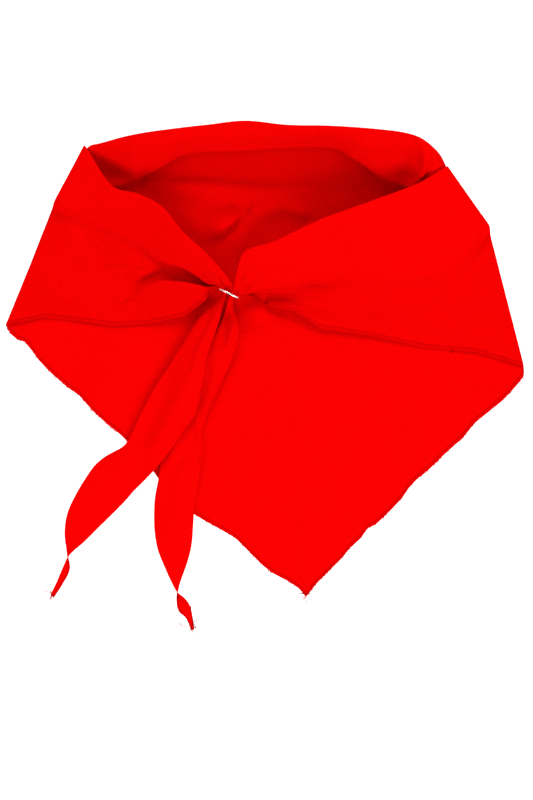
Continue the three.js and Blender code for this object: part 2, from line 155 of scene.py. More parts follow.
BACK = [
    dict(top=(91.5, 148.3, 22.4), low=(71, 196, 8.2), hem=(18, 340), fall=9, steps=2),
    dict(top=(103, 146, 24.6), low=(90, 191, 8.0), hem=(38, 359), fall=9, steps=3),
    dict(top=(131, 139, 30.8), low=(124, 184, 8.5), hem=(79, 395), fall=7, steps=4),
    dict(top=(165, 134, 37.8), low=(155, 170, 7.5), hem=(128, 442), fall=6, steps=4),
    dict(top=(205, 129.8, 42.0), low=(188, 153, 6.5), hem=(185, 507), fall=6, steps=4),
    dict(top=(245, 126, 44.0), low=(240, 150, 5.0), hem=(240, 543), fall=6, steps=4),
    dict(top=(285, 130, 44.0), low=(285, 147, 5.0), hem=(306, 597), fall=6, steps=4),
    dict(top=(327, 131, 44.0), low=(330, 147, 6.0), hem=(345, 555), fall=6, steps=4),
    dict(top=(362, 133, 44.0), low=(352, 157, 8.0), hem=(390, 511), fall=6, steps=4),
    dict(top=(396, 136, 40.5), low=(382, 178, 9.0), hem=(430, 468), fall=7, steps=6),
    dict(top=(417, 141, 35.0), low=(410, 189, 9.5), hem=(465, 436), fall=9, steps=6),
    dict(top=(432, 150.5, 27.4), low=(442, 207, 8.5), hem=(503, 400), fall=9, steps=3),
    dict(top=(441.5, 161, 21.5), low=(467, 216, 7.0), hem=(516, 386), fall=9, steps=2),
]
RIGHT_FOLD = dict(top=(446, 169, 19.8), low=(487, 226, 8.8), hem=(524, 366), fall=9)
RIGHT_WING = [
    dict(top=(415, 187, 22.9), low=(452, 265, 6.6), hem=(475, 352), fall=24, steps=3),
    dict(top=(370, 204, 23.8), low=(410, 278, 6.2), hem=(425, 348), fall=20, steps=3),
    dict(top=(320, 222, 23.8), low=(362, 277, 6.2), hem=(372, 336), fall=14, steps=3),
    dict(top=(275, 243, 22.9), low=(318, 279, 8.4), hem=(322, 329, 2.6), fall=3.4, steps=3),
    dict(top=(247, 252, 22.5), low=(285, 286, 10.5), hem=(293, 311, 4.2), fall=1.8, steps=4),
    dict(top=(239, 268, 20.5), low=(256, 290, 11), hem=(262, 303, 6), fall=1.4, steps=4, puff=0.5),
    dict(top=(235, 287, 18.5), low=(243, 293.5, 9.5), hem=(247, 298), wrap=0.6, fall=3, steps=2, puff=1.1),
]

# Leg edges of the back panel, from each side corner to the back point.
LEFT_LEG = [
    (6, 325), (10, 333), (18, 340), (24, 341), (31, 349), (38, 359), (49, 371), (57, 378), (67, 387),
    (79, 395), (93, 411), (108, 425), (120, 434), (128, 442), (150, 466), (170, 494), (192, 513),
    (205, 521), (225, 532), (235, 538), (241, 544), (255, 558), (263, 566), (272, 573), (291, 583),
    (299, 589), (306, 597),
]
RIGHT_LEG = [
    (524, 366), (524, 376), (516, 386), (503, 400), (485, 415), (475, 423), (463, 438), (445, 454),
    (436, 463), (425, 473), (417, 479), (409, 488), (403, 497), (395, 506), (386, 515), (375, 525),
    (368, 528), (361, 538), (350, 548), (340, 560), (328, 572), (317, 583), (306, 597),
]

# Tails from the ring to the tip: middle and width in pixels, the share of the roll that is left, how
# many degrees the ribbon is turned about its run, how many panels and tails lie below it, and the
# steps to the next row where they aren't TAIL_STEPS.
LEFT_TAIL = [
    ((209.5, 321), 18, 1.0, 14, 1, 1.2),
    ((195.5, 349), 25, 1.0, 10, 1, 0.8),
    ((186, 374), 35, 1.0, 9, 1, 0.45),
    ((174, 403), 46, 1.0, 8, 1, 0.3),
    ((163, 421), 43, 1.0, 8, 1, 0.3),
    ((154.5, 436), 41, 1.0, 8, 1, 0.3, 2),
    ((144.4, 452), 37, 1.0, 8, 1, 0.25, 2),
    ((135, 462.4), 37, 0.95, 6, 0.8, 0.15, 2),
    ((120.2, 473.6), 42, 0.9, 3, 0.3, 0, 2),
    ((111.9, 481.5), 43.5, 0.85, 0, 0, 0, 2),
    ((103, 492.4), 41.5, 0.8, 0, 0, 0),
    ((91.7, 507), 37, 0.7, 0, 0, 0),
    ((82.5, 521), 31, 0.5, 0, 0, 0),
    ((74.7, 537.4), 20, 0.35, 0, 0, 0),
    ((68.4, 554.5), 5, 0.2, 60, 0, 0, 2),
    ((66.3, 568), 6.6, 0.1, 165, 0, 0, 2),
    ((60, 582), 5.8, 0.0, 180, 0, 0, 2),
    ((52, 596), 3.6, 0.0, 185, 0, 0),
]
RIGHT_TAIL = [
    ((230, 322), 15.5, 1.0, -14, 1, 0.8),
    ((224, 343), 23, 1.0, -6, 1, 0.7),
    ((210, 370), 29, 1.0, 0, 1, 0.4),
    ((196, 398), 31, 1.0, 0, 1, 0.1),
    ((185, 424), 34, 1.0, 0, 1, 0),
    ((182, 450), 38, 1.0, 0, 1, 0),
    ((179, 477), 37, 1.0, 0, 0.9, 0),
    ((174.5, 502), 37, 0.9, 0, 0.3, 0),
    ((173.5, 526), 36, 0.7, 0, 0, 0),
    ((174, 545), 32, 0.5, 0, 0, 0),
    ((175, 563), 22, 0.35, 0, 0, 0),
    ((176.6, 588.5), 6, 0.2, 60, 0, 0, 2),
    ((180.5, 599), 9, 0.1, 150, 0, 0, 2),
    ((184.3, 608), 11.5, 0.0, 175, 0, 0, 2),
    ((189.3, 617), 6.5, 0.0, 180, 0, 0, 2),
    ((192.8, 630), 2.6, 0.0, 180, 0, 0),
]
TAIL_STEPS = 3

# Loose thread ends at the three corners, each from one place in pixels to another.
THREAD_ENDS = [
    ((51, 593), (43, 592.6)), ((52, 594), (48.5, 589)), ((52, 596), (50, 600)),
    ((54, 597), (52, 600)), ((53, 595), (47, 597)), ((191, 626), (177, 626.4)),
    ((192, 622), (198.5, 621.3)), ((192, 623), (198, 625)), ((192, 628), (192.3, 634)),
    ((191, 612), (191.6, 604)), ((192, 627), (188, 631)), ((193, 626), (196, 629)),
    ((305, 594), (298, 592)), ((306, 596), (304, 601)), ((306, 597), (308, 602)),
    ((305, 596), (301, 598)), ((307, 593), (311, 596)),
]

# Folds of the cloth. Each is a line through places in pixels with a height in millimetres, its half
# width in pixels at the left and at the right of the line, and how far it leans to the right for each
# unit of height. The tables are for the wings, the back panel, the collar at the back, its hollows,
# and the tails.
WING_FOLDS = [
    ([(214, 292, 3.5), (204, 293, 6.5), (184, 291, 9.5), (162, 289, 9), (147, 292, 5),
      (134, 298, 1)], 16, 2.8, 0.66),
    ([(206, 284, -5), (190, 278, -7), (168, 275, -7), (152, 280, -5), (138, 283, -2.5),
      (124, 276, -1)], 4, 4.5),
    ([(90, 238, 1.3), (110, 248, 2.2), (128, 254, 1.6)], 3, 4),
    ([(84, 256, -1), (106, 262, -1.6), (140, 266, -1.2)], 5, 4),
    ([(112, 268, 1.4), (140, 273, 1.6), (152, 270, 1)], 3, 5),
    ([(53, 272, -1), (61, 292, -1.4), (79, 304, -1.4), (110, 320, -1)], 3, 5),
    ([(46, 282, 1.2), (58, 304, 1.5), (84, 314, 1)], 7, 5),
    ([(56, 204, -1.6), (72, 211, -1.6)], 2.5, 2.5),
    ([(70, 225, 1.2), (90, 262, 0.8)], 9, 9),
    ([(254, 297, -4), (290, 298, -4), (330, 305, -3), (372, 312, -1)], 8, 7),
    ([(264, 302, 1.0), (300, 314, 1.6), (345, 327, 1.2), (400, 336, 0.8)], 5, 8),
    ([(254, 293, -7), (263, 302, -7)], 4, 4),
    ([(340, 288, -0.8), (410, 292, -0.8), (450, 278, -0.6)], 8, 12),
    ([(380, 318, 1.2), (430, 322, 1.6), (480, 330, 1.2)], 12, 10),
    ([(486, 236, -1.2), (462, 300, -1.2), (452, 330, -0.8)], 10, 12),
    ([(498, 270, 1.4), (500, 345, 1.2)], 9, 9),
]
PANEL_FOLDS = [
    ([(92, 330, -0.6), (100, 346, -1), (114, 360, -0.8)], 4, 6),
    ([(112, 341, 1.4), (140, 348, 1.8), (156, 352, 1)], 10, 9),
    ([(148, 183, 2), (200, 184, 2.8), (262, 190, 2.8), (320, 190, 1.4)], 5, 8),
    ([(164, 194, 2), (184, 190, 3), (204, 192, 2)], 8, 10),
    ([(184, 214, 2), (198, 228, 3), (206, 232, 2)], 12, 12),
    ([(210, 235, 1.5), (219, 226, 8), (234, 214, 9), (245, 207, 4)], 14, 4.5, 0.6),
    ([(226, 246, 2), (238, 237, 4), (251, 226, 4), (258, 213, 2)], 8, 17),
    ([(250, 212, 3), (272, 206, 4)], 10, 12),
    ([(204, 208, -5), (226, 205, -7), (246, 210, -5)], 5, 5),
    ([(286, 208, 3), (300, 214, 4)], 9, 5),
    ([(236, 338, 3), (262, 332, 4), (280, 327, 2)], 3.5, 9),
    ([(300, 205, 1.6), (350, 196, 1.4)], 9, 12),
    ([(440, 366, -1), (472, 372, -1.2), (505, 378, -1)], 8, 8),
    ([(430, 392, 1.4), (470, 398, 1.6), (496, 394, 1)], 12, 12),
    ([(262, 420, 1), (330, 470, 1.4), (380, 480, 1)], 24, 20),
    ([(340, 372, 1), (380, 384, 1.6), (430, 380, 1)], 14, 16),
    ([(236, 505, 1), (285, 520, 1.4), (330, 545, 1)], 14, 16),
    ([(290, 555, -0.8), (306, 574, -1)], 10, 10),
    ([(256, 312, 5), (268, 320, 4), (290, 332, 2.5), (310, 350, 1)], 7, 9),
    ([(300, 345, 1), (285, 380, 1.2), (262, 410, 1)], 12, 14),
    ([(60, 350, 0.8), (86, 372, 1), (104, 396, 0.8)], 9, 9),
]
BAND_FOLDS = [
    ([(416, 141, 2), (424, 151, 5), (425, 166, 5.5), (420, 178, 5), (411, 189, 4)], 2.2, 5),
    ([(437, 158, -1.5), (441, 170, -1.5)], 4, 3),
    ([(134, 140, 1), (136, 182, 1.4)], 6, 5),
    ([(112, 148, 1), (106, 172, 1.2)], 6, 6),
    ([(402, 138, 1), (396, 176, 1.2)], 5, 7),
    ([(364, 136, 0.8), (352, 156, 1)], 9, 9),
    ([(172, 136, 0.8), (168, 158, 1)], 9, 9),
    ([(205, 142, 1.2), (255, 138, 1.6), (310, 140, 1)], 5, 6),
]
BAND_HOLLOWS = [
    ([(386, 140, -5), (400, 158, -10), (400, 182, -10)], 16, 18),
    ([(88, 150, -8), (102, 168, -13), (114, 182, -11)], 17, 12),
]
TAIL_FOLDS = [
    ([(222, 302, 1.2), (212, 322, 2), (200, 346, 1.6), (192, 372, 1)], 6, 3),
    ([(188, 378, 1.4), (179, 399, 2.6), (167, 423, 2.8), (154, 447, 1.4)], 9, 6),
    ([(176, 360, -0.8), (158, 404, -1.2), (142, 440, -1)], 5, 7),
    ([(124, 462, 1), (100, 492, 1.6), (84, 520, 1.4)], 10, 10),
    ([(236, 305, 1.4), (235, 325, 2), (224, 352, 1.6)], 3, 3.5),
    ([(225, 312, -1.4), (222, 332, -1.4)], 2, 2),
    ([(218, 352, 1.4), (214, 380, 2.2), (206, 408, 2)], 6, 5),
    ([(193, 404, 1.2), (178, 436, 1.8), (168, 466, 1.6)], 3, 4),
    ([(189, 446, -1.4), (172, 474, -1)], 3, 3),
    ([(197, 424, 1.4), (200, 446, 1.6)], 3, 3),
    ([(184, 452, -1), (202, 458, -1.4)], 3, 3),
    ([(182, 470, 1.2), (176, 510, 1.8), (172, 540, 1.2)], 10, 9),
]


def seen(x, y, height=0.0):
    """Point on the table, in metres, of a pixel of the photo, at a height in millimetres."""
    return Vector(((x - PHOTO_CENTRE[0]) * PIXEL, (PHOTO_CENTRE[1] - y) * PIXEL, height * MM))


def mix(a, b, t):
    """Value between two, at a share of the way."""
    return a + (b - a) * t


def smooth(low, high, value):
    """Share from 0 to 1 between two values, with soft ends."""
    t = min(max((value - low) / (high - low), 0.0), 1.0)
    return t * t * (3 - 2 * t)


def ring_centre():
    """Middle of the ring in the frame."""
    low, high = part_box("slide_ring")
    return (Vector(low) + Vector(high)) / 2


# The frame's origin lies a little off the photo's centre: the ring gives the shift.
SHIFT = ring_centre() - seen(*RING_PLACE)
SHIFT.z = 0


class Fold:
    """A pressed or raised fold, as a bell across a line."""

    def __init__(self, line, left, right, lean=0.0):
        self.lean = lean
        self.places = [seen(x, y).xy for x, y, _ in line]
        self.heights = [height * MM for _, _, height in line]
        self.left = left * PIXEL
        self.right = right * PIXEL
        reach = FOLD_REACH * max(self.left, self.right)
        across, along = [p.x for p in self.places], [p.y for p in self.places]
        self.low = Vector((min(across) - reach, min(along) - reach))
        self.high = Vector((max(across) + reach, max(along) + reach))

    def at(self, point):
        """Height of the fold at a point, and the way to its line's right, kept in over."""
        if not (self.low.x < point.x < self.high.x and self.low.y < point.y < self.high.y):
            return 0.0
        best, height, side, self.over = 1e9, 0.0, 0.0, Vector((0, 0))
        for i in range(len(self.places) - 1):
            run = self.places[i + 1] - self.places[i]
            away = point - self.places[i]
            along = min(max(away.dot(run) / run.length_squared, 0.0), 1.0)
            distance = (away - run * along).length
            if distance < best:
                best = distance
                height = mix(self.heights[i], self.heights[i + 1], along)
                side = run.x * away.y - run.y * away.x
                self.over = Vector((run.y, -run.x)) / run.length
        width = self.left if side > 0 else self.right
        return height * math.exp(-((best / width) ** 2))


def relief(folds, point):
    """Height of all the folds at a point."""
    place = point.xy
    return sum(fold.at(place) for fold in folds)


def lean_over(folds, point):
    """How far the leaning folds carry a point sideways, to the right of their lines."""
    shift = Vector((0, 0))
    for fold in folds:
        if fold.lean:
            height = fold.at(point.xy)
            if height:
                shift += fold.over * height * fold.lean
    return Vector((shift.x, shift.y, 0))


def gather(point):
    """Height of the pleats that run out from the ring, in metres."""
    away = point.xy - seen(*RING_PLACE).xy
    reach = away.length / PLEAT_REACH
    if reach > 6:
        return 0.0
    angle = math.atan2(away.y, away.x)
    wander = noise.noise(Vector((point.x * 60, point.y * 60, 2.0)))
    pleat = abs(math.sin(PLEATS * angle + PLEAT_WANDER * wander)) - 0.3
    return PLEAT_HEIGHT * pleat * reach * math.exp(1 - reach)


def crumple(point):
    """A slow drift of the whole cloth, so that no edge is ruled."""
    drift = Vector()
    for often, start, far in DRIFT:
        drift += noise.noise_vector(point * often + Vector(start)) * far
    return drift * MM


def key(**values):
    """One key section of the sheet, with what isn't given at rest."""
    base = dict(
        hem_level=0.0, puff=0.0, back=0.0, wrap=0.0, gather=0.0, cloth=1.0, rest=0.0, under=0.0, wing=0.0,
        fall=9 * MM, steps=1, along=None,
    )
    base.update(values)
    return base


def collar_keys(rows, level, wing, back=0.0):
    """Key sections of a wing, or of the collar at the back."""
    return [
        key(
            top=seen(*row["top"]), low=seen(*row["low"]), hem=seen(*row["hem"]), level=level,
            hem_level=row["hem"][2] * MM if len(row["hem"]) == 3 else mix(level, HEM_LEVEL, wing),
            wing=wing, back=back, puff=row.get("puff", 0.0), wrap=row.get("wrap", 0.0), gather=1.0,
            fall=row["fall"] * MM, steps=row["steps"],
        )
        for row in rows
    ]


def fold_keys(row, outward):
    """The side fold, a half turn about the line from top to hem."""
    top, low, hem = seen(*row["top"]), seen(*row["low"]), seen(*row["hem"])
    back = SIDE_FOLD_BACK
    middle = (HEM_LEVEL + back) / 2
    hem_radius = (HEM_LEVEL - back) / 2
    run = (top.xy - hem.xy).normalized()
    out = Vector((-run.y, run.x, 0)) * outward
    hem.z = middle
    keys = []
    for degrees in (90, 45, 0, -45, -90):
        angle = math.radians(degrees)

        def turned(point, radius):
            return point + out * radius * (math.cos(angle) - 1) + Vector((0, 0, radius * math.sin(angle)))

        share = (1 + math.sin(angle)) / 2
        keys.append(
            key(
                top=turned(top, FOLD_RADIUS), low=turned(low, FOLD_RADIUS), hem=turned(hem, hem_radius),
                level=mix(back, WING_LEVEL, share), hem_level=mix(back, HEM_LEVEL, share), wing=share,
                fall=row["fall"] * MM,
            )
        )
    return keys


def tail_keys(rows, side, thickness):
    """Key sections of a tail, a flat ribbon from the ring to its tip."""
    line = [seen(*row[0]) for row in rows]
    keys = []
    for i, (_, width, cloth, turn, panels, tails, *steps) in enumerate(rows):
        along = (line[min(i + 1, len(rows) - 1)] - line[max(i - 1, 0)]).normalized()
        flat = Vector((along.y, -along.x, 0)) * side
        angle = math.radians(turn)
        across = flat * math.cos(angle) + Vector((0, 0, 1)) * math.sin(angle)
        under = panels * PANEL_GAP + tails * TAIL_STEP
        middle = line[i] + Vector((0, 0, under + thickness / 2 + 2 * LAYER))
        half = across * width * PIXEL / 2
        keys.append(
            key(
                top=middle + half, low=middle - half, hem=middle - half, level=middle.z, cloth=cloth,
                wrap=1.0, rest=1.0, under=under, gather=1.0, steps=steps[0] if steps else TAIL_STEPS,
            )
        )
    return keys


def ring_keys(side):
    """Both strands stand on edge inside the ring, side by side."""
    centre = ring_centre() - SHIFT
    aside = Vector((math.cos(RING_TURN), math.sin(RING_TURN), 0))
    along = Vector((-aside.y, aside.x, 0))
    keys = []
    for shift in (-STRAND_REACH, STRAND_REACH):
        middle = centre + aside * side * STRAND_MIDDLE - along * side * shift
        up = Vector((0, 0, STRAND_HALF))
        keys.append(
            key(
                top=middle + up, low=middle - up, hem=middle - up, level=middle.z, wrap=1.0, puff=1.0,
                steps=2, along=along * -side,
            )
        )
    return keys


def curve(p, q, r, s, t):
    """Smooth run through four values, between the second and the third."""
    start = (r - p) * 0.5
    end = (s - q) * 0.5
    square, cube = t**2, t**3
    bent = (q - r) * (2 * cube) + (start + end) * cube
    return bent + (r - q) * (3 * square) - (start * 2 + end) * square + start * t + q


def blend(a, b, c, d, t):
    """Section between the keys b and c, with their neighbours a and d for a smooth run."""
    along = None
    if b["along"] and c["along"]:
        a, d, along = b, c, b["along"]
    straight = [name for name in b if name not in ("along", "steps", "top", "low")]
    made = {name: mix(b[name], c[name], t) for name in straight}
    made["top"] = curve(a["top"], b["top"], c["top"], d["top"], t)
    made["low"] = curve(a["low"], b["low"], c["low"], d["low"], t)
    made["along"] = along
    return made


class Edge:
    """A leg edge of the back panel, walked by length."""

    def __init__(self, pixels):
        self.places = [seen(*pixel).xy for pixel in pixels]
        self.marks = lengths_along(self.places)

    def nearest(self, point):
        """Distance from a point, and the length along the edge of the nearest place."""
        best, mark = 1e9, 0.0
        for i in range(len(self.places) - 1):
            run = self.places[i + 1] - self.places[i]
            along = min(max((point - self.places[i]).dot(run) / run.length_squared, 0.0), 1.0)
            distance = (self.places[i] + run * along - point).length
            if distance < best:
                best, mark = distance, self.marks[i] + run.length * along
        return best, mark

    def place(self, mark):
        """Place at a length along the edge."""
        for i in range(len(self.places) - 1):
            if mark <= self.marks[i + 1]:
                break
        share = (mark - self.marks[i]) / (self.marks[i + 1] - self.marks[i])
        return self.places[i].lerp(self.places[i + 1], share)


def stations(thickness):
    """Every section of the sheet, from the left tail's tip round the neck to the right tail's tip."""
    back_level = thickness / 2 + 0.1 * MM
    keys = tail_keys(LEFT_TAIL, -1, thickness)[::-1]
    keys += ring_keys(-1)
    keys += collar_keys(LEFT_WING, WING_LEVEL, 1.0)
    keys += fold_keys(LEFT_FOLD, 1)
    first_back = len(keys)
    keys += collar_keys(BACK, back_level, 0.0, 1.0)
    last_back = len(keys)
    back_point = first_back + next(i for i, row in enumerate(BACK) if row["hem"] == LEFT_LEG[-1])
    keys += fold_keys(RIGHT_FOLD, -1)[::-1]
    keys += collar_keys(RIGHT_WING, WING_LEVEL, 1.0)
    keys += ring_keys(1)
    keys += tail_keys(RIGHT_TAIL, 1, thickness)
    legs = [Edge(LEFT_LEG), Edge(RIGHT_LEG)]
    made = []
    for i, this in enumerate(keys[:-1]):
        steps = this["steps"] * FINE
        for step in range(steps):
            before, after = keys[max(i - 1, 0)], keys[min(i + 2, len(keys) - 1)]
            station = blend(before, this, keys[i + 1], after, step / steps)
            if first_back - 1 <= i < last_back:
                leg = legs[0] if i < back_point else legs[1]
                start, end = (leg.nearest(keys[k]["hem"].xy)[1] for k in (i, i + 1))
                foot = leg.place(mix(start, end, step / steps))
                station["hem"] = Vector((foot.x, foot.y, station["hem"].z))
            made.append(station)
    made.append(keys[-1])
    return made


def layer_of(width):
    """Distance from one layer to the next, which draws together where the ribbon narrows."""
    return LAYER * min(max(width / NARROW, 0.2), 1.0)


def roll_point(length, width):
    """Point of the roll at a length from the top edge inwards: over the top, down the band, round the
    lower edge and up again. The first value runs from the low edge to the top, the second outwards."""
    layer = layer_of(width)
    top_turn = math.pi * layer
    low_turn = math.pi * layer / 2
    if length < top_turn:
        angle = length / layer
        return width + layer * math.sin(angle), layer * math.cos(angle)
    if length < top_turn + width:
        return width - (length - top_turn), -layer
    if length < top_turn + width + low_turn:
        angle = (length - top_turn - width) / (layer / 2)
        return -layer / 2 * math.sin(angle), -layer / 2 - layer / 2 * math.cos(angle)
    return length - top_turn - width - low_turn, 0.0


def roll_lengths(width, cloth):
    """Lengths of the roll's columns from the top edge inwards, the last one first."""
    layer = layer_of(width)
    marks = [0.0, math.pi * layer]
    marks.append(marks[-1] + width)
    marks.append(marks[-1] + math.pi * layer / 2)
    marks.append(marks[-1] + ROLL_RETURN * width)
    lengths = [0.0]
    columns = (TOP_COLUMNS, BAND_COLUMNS, LOW_COLUMNS, RETURN_COLUMNS)
    for start, end, count in zip(marks, marks[1:], columns):
        lengths += [start + (end - start) * i / count for i in range(1, count + 1)]
    keep = max(cloth, LEAST / marks[-1])
    return [length * keep for length in reversed(lengths)]


def flap_point(length, width):
    """The edge of a tail turned under the roll, at a length from the low edge of the outer layer."""
    layer = layer_of(width)
    radius = 1.5 * layer
    angle = length / radius
    if angle < math.pi:
        return -radius * math.sin(angle), layer - radius + radius * math.cos(angle)
    return length - math.pi * radius, -2 * layer


def bezier(p, q, r, s, t):
    """Point of a cubic from p to s."""
    u = 1 - t
    return p * u**3 + q * (3 * t * u * u) + r * (3 * t * t * u) + s * t**3


def outer_layer(station, folds, place, width, outer):
    """Points of the collar's outer layer, from the top edge down to its foot."""
    points = []
    for i in range(1, STACK_COLUMNS + 1):
        share = i / STACK_COLUMNS
        point = place(width * (1 - share), layer_of(width))
        lift = station["gather"] * max(gather(point), -COLLAR_DIP) * (1 - station["rest"] * 0.4)
        swell = abs(math.sin(math.pi * (2.5 * share + 0.1)))
        lift += station["puff"] * PUFF * swell * math.sin(math.pi * share) ** 0.5
        if station["rest"] > 0:
            lift += station["rest"] * max(relief(folds["tail"], point), -TAIL_DIP)
        if station["back"] > 0:
            lift += station["back"] * ROLL_OVERHANG * smooth(0.5, 1, share)
        points.append(point + outer * lift * smooth(0, 0.3, share))
    return points


def spread_cloth(station, folds, foot, up, thickness):
    """Points of the cloth that falls from the collar's foot and lies down to the hem."""
    spread = station["hem"] - foot
    length = max(spread.length, LEAST)
    heading = Vector((spread.x, spread.y, 0)).normalized()
    fall = min(station["fall"], length / 2)
    landing = foot + heading * fall
    landing.z = station["level"]
    hem = station["hem"].copy()
    hem.z = station["hem_level"]
    wing, back = station["wing"], station["back"]
    down = up.lerp(Vector((0, 0, 1)), back)
    first = foot - down * mix(fall * 0.45, foot.z - station["level"], back)
    last = landing - heading * (fall * 0.45)
    points = []
    for i in range(1, PANEL_COLUMNS + 1):
        share = (i / PANEL_COLUMNS) ** 1.25
        out = share * length
        if out < fall:
            point = bezier(foot, first, last, landing, out / fall)
        else:
            point = landing.lerp(hem, (out - fall) / max(length - fall, LEAST))
        settled = smooth(0, fall * 1.4, out)
        lifted = wing * relief(folds["wing"], point) + (1 - wing) * relief(folds["panel"], point)
        lifted += wing * gather(point)
        wave = Vector((point.x * WAVES_IN_A_METRE, point.y * WAVES_IN_A_METRE, wing * 3))
        lifted += mix(0.3, 0.9, wing) * MM * noise.noise(wave)
        over = lean_over(folds["wing"], point) * wing + lean_over(folds["panel"], point) * (1 - wing)
        point.z += lifted * settled
        point += over * settled
        floor = mix(thickness / 2, WING_FLOOR * (1 - 0.3 * smooth(0.8, 1.0, share)), wing)
        point.z = max(point.z, floor)
        points.append(point)
    return points


def section(station, along, folds, thickness):
    """Points of one section, from the hidden long edge to the hem."""
    rise = station["top"] - station["low"]
    width = rise.length
    up = rise.normalized()
    forward = (along - up * along.dot(up)).normalized()
    outer = up.cross(forward)
    low = station["low"]

    def place(u, n):
        return low + up * u + outer * n

    points = [place(*roll_point(length, width)) for length in roll_lengths(width, station["cloth"])]
    back = station["back"]
    if back > 0:
        for i in range(RETURN_COLUMNS + LOW_COLUMNS, len(points) - TOP_COLUMNS):
            points[i] = points[i] - outer * relief(folds["band"], points[i]) * back
    points += outer_layer(station, folds, place, width, outer)
    if back > 0:
        for point in points:
            share = min(max((point - low).dot(up) / width, 0.0), 1.0)
            point.z += relief(folds["hollow"], point) * math.sin(math.pi * share) * back

    # Past the foot the cloth lies on the table, and in the tails it is wrapped under the roll.
    foot = points[-1]
    wrap = station["wrap"]
    lying = spread_cloth(station, folds, foot, up, thickness) if wrap < 1 else [foot] * PANEL_COLUMNS
    flap = max(FLAP_RETURN * width * (0.35 + 0.65 * station["cloth"]), LEAST)
    for i, point in enumerate(lying, 1):
        if wrap > 0:
            point = point.lerp(place(*flap_point(i / PANEL_COLUMNS * flap, width)), wrap)
        points.append(point)
    if station["rest"] > 0:
        lowest = min(point.z for point in points)
        shift = station["rest"] * (station["under"] + thickness / 2 - lowest)
        for point in points:
            point.z += shift
    return points


def sheet_grid(thickness):
    """Rows of points of the whole sheet, the flat place of each on the uncut cloth, and how much each
    row belongs to a wing."""
    noise.seed_set(NOISE_SEED)
    folds = {
        name: [Fold(*row) for row in rows]
        for name, rows in dict(
            wing=WING_FOLDS, panel=PANEL_FOLDS, band=BAND_FOLDS, hollow=BAND_HOLLOWS, tail=TAIL_FOLDS,
        ).items()
    }
    line = stations(thickness)
    middles = [(station["top"] + station["low"]) / 2 for station in line]
    grid = []
    for i, station in enumerate(line):
        along = station["along"] or middles[min(i + 1, len(line) - 1)] - middles[max(i - 1, 0)]
        points = section(station, along, folds, thickness)
        from_knot = (points[0] - seen(*RING_PLACE, KNOT_HEIGHT)).length
        steady = 1.0 - 0.9 * math.exp(-(from_knot / KNOT_CALM) ** 2)
        for point in points:
            drift = crumple(point) * steady
            drift.x *= DRIFT_LEVEL_SHARE
            drift.y *= DRIFT_LEVEL_SHARE
            point += drift
            point.z = max(point.z, thickness / 2)
        grid.append([point + SHIFT for point in points])
    return grid, flat_places(grid), [station["wing"] for station in line]


def lengths_along(points):
    """Length from the first point to each."""
    total = [0.0]
    for a, b in zip(points, points[1:]):
        total.append(total[-1] + (b - a).length)
    return total


def flat_places(grid):
    """Where each point lay on the flat triangle, with the two legs as axes."""
    half_long = LEG_LENGTH * math.sqrt(0.5)
    hem = lengths_along([row[-1] for row in grid])
    top_column = TOP_COLUMNS + BAND_COLUMNS + LOW_COLUMNS + RETURN_COLUMNS
    top = lengths_along([row[top_column] for row in grid])
    places = []
    for i, row in enumerate(grid):
        across = lengths_along(row)
        edge = top[i] / top[-1] * 2 * half_long
        leg = hem[i] / hem[-1] * 2 * LEG_LENGTH
        climb = min(leg, 2 * LEG_LENGTH - leg) * math.sqrt(0.5)
        leg_x = climb if leg < LEG_LENGTH else 2 * half_long - climb
        roll = across[top_column]
        line = []
        for length in across:
            if length <= roll:
                x, y = edge, length
            else:
                t = (length - roll) / (across[-1] - roll)
                x, y = mix(edge, leg_x, t), mix(roll, max(climb, roll + 0.01), t)
            line.append(((x + y) * math.sqrt(0.5), (y - x) * math.sqrt(0.5)))
        places.append(line)
    return places


# Materials.


class Sock:
    """A shader socket or number that can be added, multiplied and so on."""

    def __init__(self, tree, value):
        self.tree = tree
        self.value = value

    def maths(self, operation, other, swap=False):
        """A Math node on this value and another."""
        node = self.tree.nodes.new("ShaderNodeMath")
        node.operation = operation
        pair = [self.value, other.value if isinstance(other, Sock) else other]
        for socket, value in zip(node.inputs, reversed(pair) if swap else pair):
            if isinstance(value, bpy.types.NodeSocket):
                self.tree.links.new(value, socket)
            else:
                socket.default_value = value
        return Sock(self.tree, node.outputs[0])

    def __add__(self, other):
        return self.maths("ADD", other)

    def __sub__(self, other):
        return self.maths("SUBTRACT", other)

    def __rsub__(self, other):
        return self.maths("SUBTRACT", other, swap=True)

    def __mul__(self, other):
        return self.maths("MULTIPLY", other)

    __radd__ = __add__
    __rmul__ = __mul__

    def larger(self, other):
        return self.maths("MAXIMUM", other)


